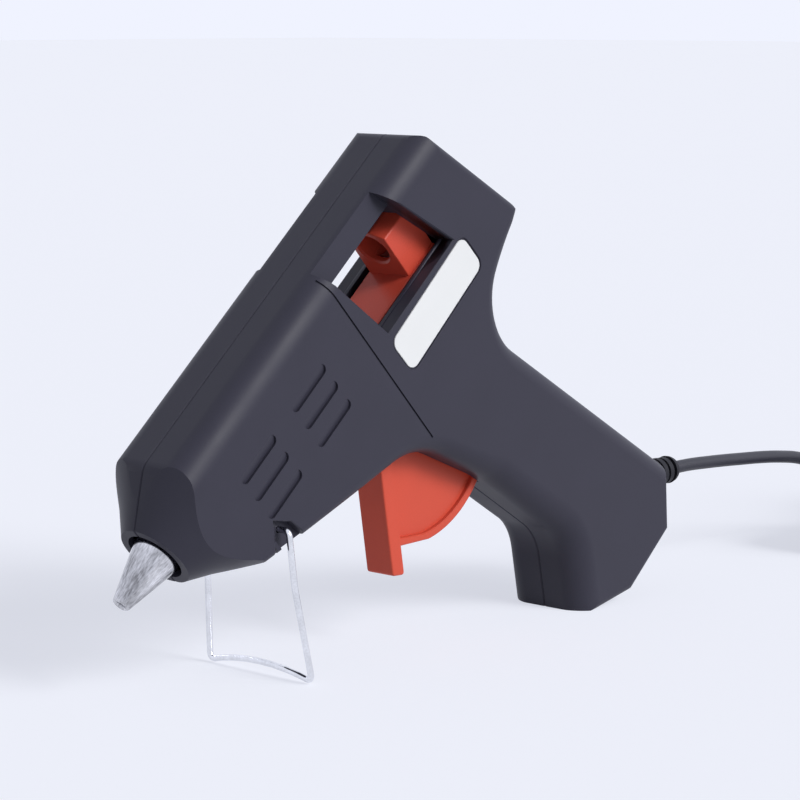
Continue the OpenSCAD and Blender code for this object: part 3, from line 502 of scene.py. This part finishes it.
# where the cord leaves the handle: a third of the way down the face from the heel to the foot
exitFace = (Vector((handleHeel[0], handleHeel[1] - handleDrop)), Vector((footEnd, -handleDrop)))
exitRun = (exitFace[1] - exitFace[0]).normalized()
exitDir = Vector((-exitRun.y, exitRun.x))
exitAt = exitFace[0] + 0.33 * (exitFace[1] - exitFace[0])


def windowShape(low, high, grow=0.0):
    def front(h):
        return window["front"] - window["frontLean"] * h - grow

    def back(h):
        return window["rear"] - window["rearLean"] * h + grow
    return [(front(low), low), (back(low), low), (back(high), high), (front(high), high)]


def roundedRectangle(length, height, radius, centre=(0, 0), lean=0.0, steps=8):
    points = []
    flatX, flatY = length / 2 - radius, height / 2 - radius
    for x, y, start in ((1, 1, 0), (-1, 1, 90), (-1, -1, 180), (1, -1, 270)):
        points += arc((x * flatX, y * flatY), radius, start, start + 90, steps)
    c, s = math.cos(math.radians(lean)), math.sin(math.radians(lean))
    return [(centre[0] + c * x - s * y, centre[1] + s * x + c * y) for x, y in points]


def ventTool(a, h):
    radius = vents["height"] / 2
    half = casing["halfWidth"]
    ends = arc((a + vents["length"] - radius, h + radius), radius, -90, 90, 10)
    ends += arc((a + radius, h + radius), radius, 90, 270, 10)
    floor = [(x, half - vents["depth"] * (1 - (y - h) / vents["height"]) + 0.02, y) for x, y in ends]
    roof = [(x, half + 1, y) for x, y in ends]
    return loftRings("vent", [floor, roof])


def grooveTool():
    half, edge, depth = casing["halfWidth"], casing["topEdge"], groove["depth"]
    centre = (half - edge, top - edge)
    inner = [(half - depth, groove["low"])] + arc(centre, edge - depth, 0, groove["turn"], 8)
    outer = arc(centre, edge + 2, groove["turn"], 0, 8) + [(half + 2, groove["low"])]
    section = inner + outer
    return loftRings("groove", [[(a, y, h) for y, h in section] for a in groove["at"]])


def relative(centre, points):
    return [(centre[0] + x, centre[1] + y) for x, y in points]


# the hollow of a shell, around its ribs, the window's frame, the stand's pocket and the bosses
def makeCavity():
    hollow = halfForm(casing["wall"])
    pocketWall = relative(stand["pivot"], [(-8, -5.4), (5.6, -8.9), (5, 0.1), (-0.8, 6.5), (-2.4, 6.3)])
    keep = [block(*rib) for rib in ribs]
    keep += [prism(windowShape(-12.8, 20, 2), -2, 14), block(*rearBlock), prism(pocketWall, 8, 12)]
    keep += [rod(screw["boss"], (a, -2, h), (a, 14, h)) for a, h in screw["sites"]]
    return carve(hollow, keep)


def pocketTool():
    a, h = stand["pivot"]
    half = casing["halfWidth"]
    shape = relative(stand["pivot"], [(-1, 4.5), (-8, -4.9), (-3, -9.9), (4.1, -8.4), (2.6, 0.1)])
    step = block((a - 4.6, a - 3.5), (10, half - 0.4), (h - 12, h + 0.4))
    return carve(flared(shape, 10.6, half), [step])


def shellTools(side):
    low, spine, half = window["low"], window["spine"], casing["halfWidth"]
    slotTop = [(-12, -4), (-12, 11), (-2, 11), (26, -4)]
    slot = relative(triggerPivot, slotTop + arc((0, 0), triggerSlot["radius"], -10, -86, 16))
    radius, front, back = nozzleSeat
    tools = [rod(radius, (front, 0, 0), (back, 0, 0), 64)]
    tools += [rod(radius, (front, 0, 0), (back, 0, 0)) for radius, front, back in seats.values()]
    tools += [
        prism(windowShape(low, window["high"]), -1, farSide),
        flared(windowShape(low, top + 2), spine, half, window["flare"]),
        prism(windowShape(low, top - casing["wall"]), -1, spine - 2),
        prism(windowShape(window["ledgeLow"], low + 0.1), -1, window["ledge"]),
    ]
    tools += [block(*room) for room in carriageRoom.values()]
    a, h = stand["pivot"]
    inside = exitAt - reliefSeat["inside"] * exitDir
    outside = exitAt + reliefSeat["outside"] * exitDir
    tools += [
        prism(slot, -1, triggerSlot["half"]),
        grooveTool(),
        pocketTool(),
        rod(stand["hole"], (a, 0, h), (a, farSide, h), 24),
        rod(reliefSeat["radius"], (inside.x, 0, inside.y), (outside.x, 0, outside.y)),
    ]
    tools += [ventTool(a, h) for a in vents["starts"] for h in vents["heights"]]
    if side < 0:
        length, height = label["length"] + 2 * label["gap"], label["height"] + 2 * label["gap"]
        shape = roundedRectangle(length, height, label["corner"] + 0.3, label["centre"], label["lean"])
        tools.append(flared(shape, half - label["sink"], half, 0.12))
    else:
        for a, h in screw["sites"]:
            tools.append(rod(screw["hole"], (a, -1, h), (a, farSide, h), 24))
            tools.append(rod(screw["head"], (a, screw["headSeat"], h), (a, farSide, h), 32))
    return tools


def makeShell(side):
    shell = halfForm(0)
    carve(shell, [makeCavity()])
    carve(shell, shellTools(side))
    if side < 0:
        mirrored(shell)
    name = "left" if side < 0 else "right"
    dress(shell, "casing_" + name, "casing", "casing", [name + "_shell"], 26)
    print(name, "shell has", len(shell.data.polygons), "faces")


for side in (-1, 1):
    makeShell(side)


# blank label
def makeLabel():
    half = casing["halfWidth"]
    length, height = label["length"], label["height"]
    shape = roundedRectangle(length, height, label["corner"], label["centre"], label["lean"])
    levels = [(0, half - label["sink"] + 0.01), (0, half - 0.12), (-0.04, half - 0.06), (-0.12, half - 0.04)]
    plate = loftRings("label", [atLevel(grown(shape, by), -y) for by, y in levels])
    dress(plate, "blank_label", "label", "casing", ["rating_label"], 40)


makeLabel()


# nozzle, its profile as along and radius
nozzle = {"tip": 2.1, "base": 5.7, "length": 14.0, "hole": 1.05, "steps": 12}


def makeNozzle():
    tip, base, hole, steps = nozzle["tip"], nozzle["base"], nozzle["hole"], nozzle["steps"]
    lip = (0.5, tip + 0.12)
    profile = [(5, hole), (0.5, hole), (0.12, 1.3), (0, 1.6), (0.02, tip - 0.35), (0.16, tip - 0.1), lip]
    long, rise = nozzle["length"] - lip[0], base - lip[1]
    profile += [(lip[0] + long * k / steps, lip[1] + rise * k / steps) for k in range(1, steps + 1)]
    profile += [(14.4, base), (22, base), (22, 4), (25.1, 4), (25.1, 2.6), (11.5, 2.6), (10, 1.55)]
    body = lathe("nozzle", profile, 96)
    dress(body, "nozzle_cone", "nozzle_metal", "casing", ["nozzle"], 35, weighted=False)


makeNozzle()


# trigger
trigger = {"half": 4.4, "round": 0.45, "sink": 1.2, "rim": 2.0, "flange": 28.5, "heel": (64.4, -56.4),
           "toe": (60.4, -62.5), "pinHole": 1.65, "arm": 24.5, "armLean": 11, "armHalf": 2.5}


def roundedLevels(shape, half, radius, steps=4):
    levels = []
    for k in range(steps + 1):
        turn = math.pi / 2 * k / steps
        levels.append((-radius * (1 - math.sin(turn)), -half + radius * (1 - math.cos(turn))))
    levels += [(by, -y) for by, y in reversed(levels)]
    return [atLevel(grown(shape, by), y) for by, y in levels]


def filleted(points, radii, steps=5):
    result = []
    for i, p in enumerate(points):
        here = Vector(p)
        before = Vector(points[i - 1]) - here
        after = Vector(points[(i + 1) % len(points)]) - here
        radius = radii[i]
        if not radius:
            result.append(tuple(here))
            continue
        angle = before.angle(after)
        run = min(radius / math.tan(angle / 2), before.length * 0.45, after.length * 0.45)
        start, end = here + before.normalized() * run, here + after.normalized() * run
        for k in range(steps + 1):
            t = k / steps
            result.append(tuple(start.lerp(here, t).lerp(here.lerp(end, t), t)))
    return result


def makeTrigger():
    pivot, heel, toe = Vector(triggerPivot), Vector(trigger["heel"]), Vector(trigger["toe"])
    half, sink, hole = trigger["half"], trigger["sink"], trigger["pinHole"]
    rim = arc(triggerPivot, trigger["flange"], -119.5, -68, 26)
    corners = [(79, -27), (57.5, -59.6), trigger["toe"], trigger["heel"]]
    back = [(90.7, -39.7), (86.9, -33.1)]
    shape = filleted(corners, [0, 0.9, 0.9, 0.5]) + rim + back
    body = loftRings("trigger", roundedLevels(shape, half, trigger["round"]))
    # the sunk web between the blade and the rim
    blade = (heel - toe).normalized()
    square = (Vector((72.2, -62.6)) - heel).normalized()
    start = heel + trigger["rim"] * blade
    low = start + 8.2 * square
    lowAngle = math.degrees(math.atan2(low.y - pivot.y, low.x - pivot.x))
    web = [tuple(start + 17 * blade), tuple(start)]
    web += arc(triggerPivot, trigger["flange"] - trigger["rim"], lowAngle, -75, 16) + [(88, -42), (80, -36)]
    carve(body, [flared(web, half - sink, half, 0.2), mirrored(flared(web, half - sink, half, 0.2)),
                 rod(hole, (pivot.x, -9, pivot.y), (pivot.x, 9, pivot.y), 32)])
    # the arm up to the drive pin, and the lug of the spring
    lean = math.radians(trigger["armLean"])
    armTop = pivot + trigger["arm"] * Vector((math.sin(lean), math.cos(lean)))
    arm = (armTop - pivot).normalized()
    side = Vector((arm.y, -arm.x))
    lever = [tuple(pivot - 4 * side), tuple(pivot + 4 * side), tuple(armTop + 2.3 * side + 2 * arm),
             tuple(armTop - 2.3 * side + 2 * arm)]
    lug = [(87, -28), (92, -26.6), (94.5, -24.2), (92.4, -22.1), (88, -20)]
    carve(body, [prism(shape, -trigger["armHalf"], trigger["armHalf"]) for shape in (lever, lug)], "UNION")
    dress(body, "trigger_moulding", "trigger_plastic", "trigger", ["trigger"], 28)


makeTrigger()


# feed carriage
carriage = {"ringRear": 120.0, "ringLength": 11.2, "half": 6.4, "top": 5.7, "ridge": 2.5, "slope": 1.8,
            "bore": 4.4, "round": 0.35, "sledTop": -8.5, "sledLength": 36, "sledHalf": 7, "sledThick": 2,
            "lugY": 3.9, "lugHalf": 1.1, "pin": (90.7, -13.95), "pinHole": 1.65}


def bevelled(thing, width):
    modifier = thing.modifiers.new("bevel", "BEVEL")
    modifier.width = width
    modifier.segments = 3
    modifier.limit_method = "ANGLE"
    modifier.angle_limit = math.radians(20)
    evaluated = thing.evaluated_get(bpy.context.evaluated_depsgraph_get())
    mesh = bpy.data.meshes.new_from_object(evaluated)
    thing.modifiers.clear()
    thing.data = mesh
    return thing


def makeCarriage():
    back, half, low, high = carriage["ringRear"], carriage["half"], carriage["sledTop"], carriage["top"]
    ridge, shoulder = carriage["ridge"], high - carriage["slope"]
    front = back - carriage["ringLength"]
    section = [(-half, low - 0.5), (half, low - 0.5), (half, shoulder), (ridge, high), (-ridge, high),
               (-half, shoulder)]
    ring = loftRings("ring", [[(a, y, h) for y, h in section] for a in (front, back)])
    bevelled(ring, carriage["round"])
    wide = carriage["sledHalf"]
    sledFront, sledLow = back - carriage["sledLength"], low - carriage["sledThick"]
    sled = bevelled(block((sledFront, back), (-wide, wide), (sledLow, low)), 0.3)
    lugs = [block((87.4, 94), (y - carriage["lugHalf"], y + carriage["lugHalf"]), (-17, low - 1.9))
            for y in (-carriage["lugY"], carriage["lugY"])]
    carve(ring, [sled] + lugs, "UNION")
    bore = carriage["bore"]
    mouth = lathe("mouth", [(front - 1, 0.01), (front - 1, bore + 1.5), (front, bore + 0.5),
                            (front + 0.5, bore), (back + 1, bore), (back + 1, 0.01)], 64)
    jawSlot = block((110.5, 118.9), (-2.7, 2.7), (low - 3, 0))
    a, h = carriage["pin"]
    carve(ring, [mouth, jawSlot, rod(carriage["pinHole"], (a, -9, h), (a, 9, h), 24)])
    dress(ring, "feed_ring", "carriage_plastic", "carriage", ["feed_carriage"], 28)


makeCarriage()


# wires and tubes
def filletPath(points, radius, steps=8):
    result = [points[0]]
    for i in range(1, len(points) - 1):
        here = points[i]
        before, after = points[i - 1] - here, points[i + 1] - here
        angle = before.angle(after)
        run = min(radius / math.tan(angle / 2), before.length * 0.48, after.length * 0.48)
        start, end = here + before.normalized() * run, here + after.normalized() * run
        for k in range(steps + 1):
            t = k / steps
            result.append(start.lerp(here, t).lerp(here.lerp(end, t), t))
    return result + [points[-1]]


def tube(name, points, radius, smooth=False, resolution=5):
    curve = bpy.data.curves.new(name, "CURVE")
    curve.dimensions = "3D"
    curve.bevel_depth = radius
    curve.bevel_resolution = resolution
    curve.use_fill_caps = True
    if smooth:
        spline = curve.splines.new("BEZIER")
        spline.bezier_points.add(len(points) - 1)
        for knot, p in zip(spline.bezier_points, points):
            knot.co = p
            knot.handle_left_type = knot.handle_right_type = "AUTO"
        spline.resolution_u = 4
    else:
        spline = curve.splines.new("POLY")
        spline.points.add(len(points) - 1)
        for knot, p in zip(spline.points, points):
            knot.co = (*p, 1)
        spline.use_smooth = True
    thing = bpy.data.objects.new(name, curve)
    bpy.context.scene.collection.objects.link(thing)
    return thing


def makeStand():
    pivot, bend, foot = (Vector(stand[k]) for k in ("pivot", "bend", "foot"))
    down = (foot - pivot).normalized()
    tail = pivot - stand["tail"] * down

    def leg(side):
        stops = [(tail, "tailY"), (pivot, "tailY"), (pivot, "legY"), (bend, "bendY"), (foot, "footY")]
        return [Vector((place.x, side * stand[key], place.y)) for place, key in stops]
    bar = []
    for k in range(1, 8):
        share = -1 + k / 4
        middle = foot - stand["rise"] * (1 - share * share) * down
        bar.append(Vector((middle.x, share * stand["footY"], middle.y)))
    path = filletPath(leg(-1) + bar + leg(1)[::-1], stand["bendRadius"])
    wire = tube("stand_bar", [gunToFrame @ p for p in path], stand["radius"] * mm)
    wire.data.materials.append(materials["stand_wire"])
    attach(wire, "stand")
    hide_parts("stand_wire")


makeStand()


# strain relief
relief = {"length": 18.0, "neck": 4.2, "flange": 4.9, "base": 4.8, "hole": 1.77, "pitch": 2.6, "taper": 1.05,
          "groove": 0.9, "lip": 2.6}


def makeRelief():
    base, length, hole, deep = relief["base"], relief["length"], relief["hole"], relief["groove"]
    profile = [(length, hole), (length, 2.2), (length - 0.25, 2.7), (length - 0.8, 3.15),
               (length - 1.6, 3.55), (length - relief["lip"], 3.75)]
    a = length - relief["lip"]
    while a > 3:
        radius = base - relief["taper"] * a / (length - 5)
        profile += [(a - 0.05, radius - deep), (a - deep, radius - deep), (a - deep - 0.05, radius + 0.02),
                    (a - relief["pitch"] + 0.05, radius + 0.1)]
        a -= relief["pitch"]
    neck, flange = relief["neck"], relief["flange"]
    profile += [(0.02, base), (0.02, neck), (-2.05, neck), (-2.05, flange), (-4, flange), (-4, hole)]
    body = lathe("relief", profile, 48)
    turn = Matrix.Rotation(-math.atan2(exitDir.y, exitDir.x), 4, "Y")
    body.data.transform(Matrix.Translation((exitAt.x, 0, exitAt.y)) @ turn)
    dress(body, "cord_sleeve", "relief_rubber", "casing", ["strain_relief"], 35, weighted=False)


makeRelief()


# mains lead, in millimetres of the shared frame: the route to the hank, its laps, and the end to the plug
lead = {"diameter": 3.5, "hankAt": (165.0, -16.0), "run": 60.0, "fold": 12.25, "layers": 5, "pitch": 3.6,
        "length": 1.095}
cordRoute = [(107, 0, 29.9), (115, 0, 29.6), (123, 0, 29.2), (131, 0, 28.7), (140, 0, 28.1),
             (149, 0, 27.2), (158, 0.2, 25.8), (167, 0.6, 23.2), (176, 1, 19.3), (184, 1.2, 14.8),
             (191, 1.2, 10.4), (198, 1.2, 6.4), (205, 0.4, 3.4), (212, -0.3, 2), (219, -2.2, 1.8)]
tailRoute = [(172, -4.7, 17.1), (179, -6.7, 19.3), (186, -9.3, 21.9), (193, -11.4, 24.1), (200, -12, 24.8)]


def hankPoints():
    x, y = lead["hankAt"]
    run, fold, pitch = lead["run"], lead["fold"], lead["pitch"]
    points = []
    for layer in range(lead["layers"]):
        z = pitch * (layer + 0.5)
        points += [(*p, z) for p in arc((x + run, y), fold, 90, -90, 9)]
        points += [(x + run * (1 - k / 5), y - fold, z) for k in range(1, 5)]
        points += [(*p, z) for p in arc((x, y), fold, -90, -270, 9)]
        if layer + 1 < lead["layers"]:
            for k in range(1, 6):
                t = k / 6
                points.append((x + run * t, y + fold, z + pitch * t * t * (3 - 2 * t)))
    return points


def makeCord():
    reliefEnd = exitAt + relief["length"] * exitDir
    start = inFrame(reliefEnd.x, 0, reliefEnd.y)
    path = [start / mm] + cordRoute + hankPoints() + tailRoute
    cord = tube("mains_cord", inMetres(path), lead["diameter"] / 2 * mm, smooth=True, resolution=4)
    cord.data.materials.append(materials["cord_rubber"])
    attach(cord, "casing")
    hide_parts("cord", "cord_coil")
    return cord, start


cord, cordStart = makeCord()


# plug, in millimetres of the shared frame: it lies on the hank and points along +X
plug = {"at": tailRoute[-1], "end": 44.0, "grips": (19, 22, 25, 28, 31), "gripRadius": 0.7, "gripAt": 7.0,
        "gripHalf": 6, "pitch": 18.6, "pinRadius": 2.0, "pinLength": 19.0, "pinRound": 1.4, "pinNeck": 0.4}
plugToFrame = Matrix.Scale(mm, 4) @ Matrix.Translation(plug["at"])


# a superellipse across the plug at x, with this power
def plugSection(x, halfWidth, halfThick, power, count=48):
    def flattened(value, half):
        return half * math.copysign(abs(value) ** (2 / power), value)
    turns = [2 * math.pi * k / count for k in range(count)]
    return [(x, flattened(math.cos(t), halfWidth), flattened(math.sin(t), halfThick)) for t in turns]


def makePin(side):
    radius, bulge, start = plug["pinRadius"], plug["pinRound"], plug["end"]
    neck, end = radius - plug["pinNeck"], start + plug["pinLength"]
    profile = [(start - 4, 0.01), (start - 4, neck), (start, neck), (start + 0.02, radius),
               (end - bulge, radius)]
    for degrees in (20, 40, 60, 80, 90):
        turn = math.radians(degrees)
        profile.append((end - bulge + bulge * math.sin(turn), radius - bulge + bulge * math.cos(turn)))
    pin = lathe("pin", profile + [(end, 0.01)], 40)
    pin.data.transform(Matrix.Translation((0, side * plug["pitch"] / 2, 0)))
    return pin


def makePlug():
    stations = [(0, 2.2, 2.2, 2), (0.5, 2.6, 2.6, 2), (3, 3.0, 3.0, 2), (3.2, 2.6, 2.6, 2), (4, 2.6, 2.6, 2),
                (4.2, 3.3, 3.3, 2), (6.6, 3.7, 3.7, 2), (6.8, 3.1, 3.1, 2), (7.6, 3.1, 3.1, 2),
                (7.8, 3.9, 3.9, 2), (10.6, 4.4, 4.2, 2), (12, 5.6, 4.7, 2.3), (14.5, 8, 5.8, 2.8),
                (18, 10.6, 6.5, 3.2), (23, 12.7, 6.8, 3.8), (27, 13.4, 6.8, 4.4), (38, 13.5, 6.8, 5),
                (43, 13.5, 6.8, 5), (43.7, 13.2, 6.5, 5), (plug["end"], 12.7, 6.0, 5)]
    body = loftRings("plug", [plugSection(*station) for station in stations])
    half, radius = plug["gripHalf"], plug["gripRadius"]
    carve(body, [rod(radius, (x, -half, z), (x, half, z), 16)
                 for x in plug["grips"] for z in (-plug["gripAt"], plug["gripAt"])])
    dress(body, "plug_moulding", "plug_plastic", "casing", ["plug_body"], 35, matrix=plugToFrame)
    contacts = carve(makePin(-1), [makePin(1)], "UNION")
    dress(contacts, "plug_contacts", "plug_metal", "casing", ["plug_pins"], 35, weighted=False,
          matrix=plugToFrame)
    return body, contacts


plugBody, plugContacts = makePlug()


# strap round the hank
strap = {"at": 18.0, "width": 6.0, "thick": 0.78, "round": 1.2, "low": 0.08, "clear": 0.02, "edge": 0.2}


def makeStrap():
    x, y = lead["hankAt"]
    reach = lead["fold"] + lead["diameter"] / 2 + strap["clear"]
    high = lead["layers"] * lead["pitch"] + strap["clear"]
    edge = strap["edge"]

    def outlineOut(by):
        shape = [(-reach - by, strap["low"]), (-reach - by, high + by), (reach + by, high + by),
                 (reach + by, strap["low"])]
        return filleted(shape, [0, strap["round"] + by, strap["round"] + by, 0], 6)
    rings = []
    for place, pull in ((0, edge), (edge, 0), (strap["width"] - edge, 0), (strap["width"], edge)):
        section = outlineOut(pull / 2) + outlineOut(strap["thick"] - pull / 2)[::-1]
        rings.append([(x + strap["at"] + place, y + sideways, z) for sideways, z in section])
    band = loftRings("strap", rings)
    dress(band, "hank_strap", "tie_strap", "casing", ["cord_tie"], 40, weighted=False,
          matrix=Matrix.Scale(mm, 4))
    return band


hankStrap = makeStrap()
print("pieces made")


# floor, backdrop and light
studio = {"floor": (0.93, 0.94, 0.98), "wall": (0.871, 0.896, 1.0), "glow": 0.6, "lift": 1.13, "reach": 12.0,
          "sky": 0.24, "skyColour": (0.92, 0.94, 1.0),
          "lamps": {"side": {"from": (0.25, -0.85, 0.5), "energy": 1.5, "spread": 40.0},
                    "edge": {"from": (0.07, -0.81, 0.58), "energy": 1.2, "spread": 20.0}}}


# 1 on what is seen straight, in a mirror or through glass
def seen(tree):
    path = tree.nodes.new("ShaderNodeLightPath")
    bent = addMath(tree, "MAXIMUM", path.outputs["Is Glossy Ray"], path.outputs["Is Transmission Ray"])
    return addMath(tree, "MAXIMUM", path.outputs["Is Camera Ray"], bent)


def floorMaterial():
    material = bpy.data.materials.new("floor")
    material.use_nodes = True
    tree = material.node_tree
    link = tree.links.new
    shader = tree.nodes["Principled BSDF"]
    place = tree.nodes.new("ShaderNodeTexCoord")
    mottle = addNoise(tree, place.outputs["Object"], 3, 2)
    colour = addRamp(tree, mottle, [c * 0.985 for c in studio["floor"]], studio["floor"])
    link(colour, shader.inputs["Base Color"])
    shader.inputs["Roughness"].default_value = 0.9
    shader.inputs["Specular IOR Level"].default_value = 0.1
    # the wall's own glow in the floor keeps the shadows pale
    glow = tree.nodes.new("ShaderNodeEmission")
    glow.inputs["Color"].default_value = (*studio["wall"], 1)
    glow.inputs["Strength"].default_value = studio["lift"]
    mix = tree.nodes.new("ShaderNodeMixShader")
    link(addMath(tree, "MULTIPLY", seen(tree), studio["glow"]), mix.inputs["Fac"])
    link(shader.outputs["BSDF"], mix.inputs[1])
    link(glow.outputs["Emission"], mix.inputs[2])
    link(mix.outputs["Shader"], tree.nodes["Material Output"].inputs["Surface"])
    return material


def addLamps():
    for name, lamp in studio["lamps"].items():
        sun = bpy.data.lights.new(name, "SUN")
        sun.energy = lamp["energy"]
        sun.angle = math.radians(lamp["spread"])
        holder = bpy.data.objects.new(name, sun)
        bpy.context.scene.collection.objects.link(holder)
        holder.rotation_euler = (-Vector(lamp["from"])).to_track_quat("-Z", "Y").to_euler()


def makeWorld():
    world = bpy.data.worlds.new("world")
    bpy.context.scene.world = world
    world.use_nodes = True
    tree = world.node_tree
    link = tree.links.new
    sky = tree.nodes["Background"]
    sky.inputs["Color"].default_value = (*studio["skyColour"], 1)
    sky.inputs["Strength"].default_value = studio["sky"]
    shown = tree.nodes.new("ShaderNodeBackground")
    shown.inputs["Color"].default_value = (*studio["wall"], 1)
    mix = tree.nodes.new("ShaderNodeMixShader")
    link(seen(tree), mix.inputs["Fac"])
    link(sky.outputs["Background"], mix.inputs[1])
    link(shown.outputs["Background"], mix.inputs[2])
    link(mix.outputs["Shader"], tree.nodes["World Output"].inputs["Surface"])


def makeStage():
    reach = studio["reach"]
    corners = [(-reach, -reach, 0), (reach, -reach, 0), (reach, reach, 0), (-reach, reach, 0)]
    floor = newObject("floor", corners, [(0, 1, 2, 3)])
    floor.data.materials.append(floorMaterial())
    makeWorld()
    addLamps()
    bpy.context.scene.view_settings.view_transform = "Standard"


makeStage()
print("stage set")
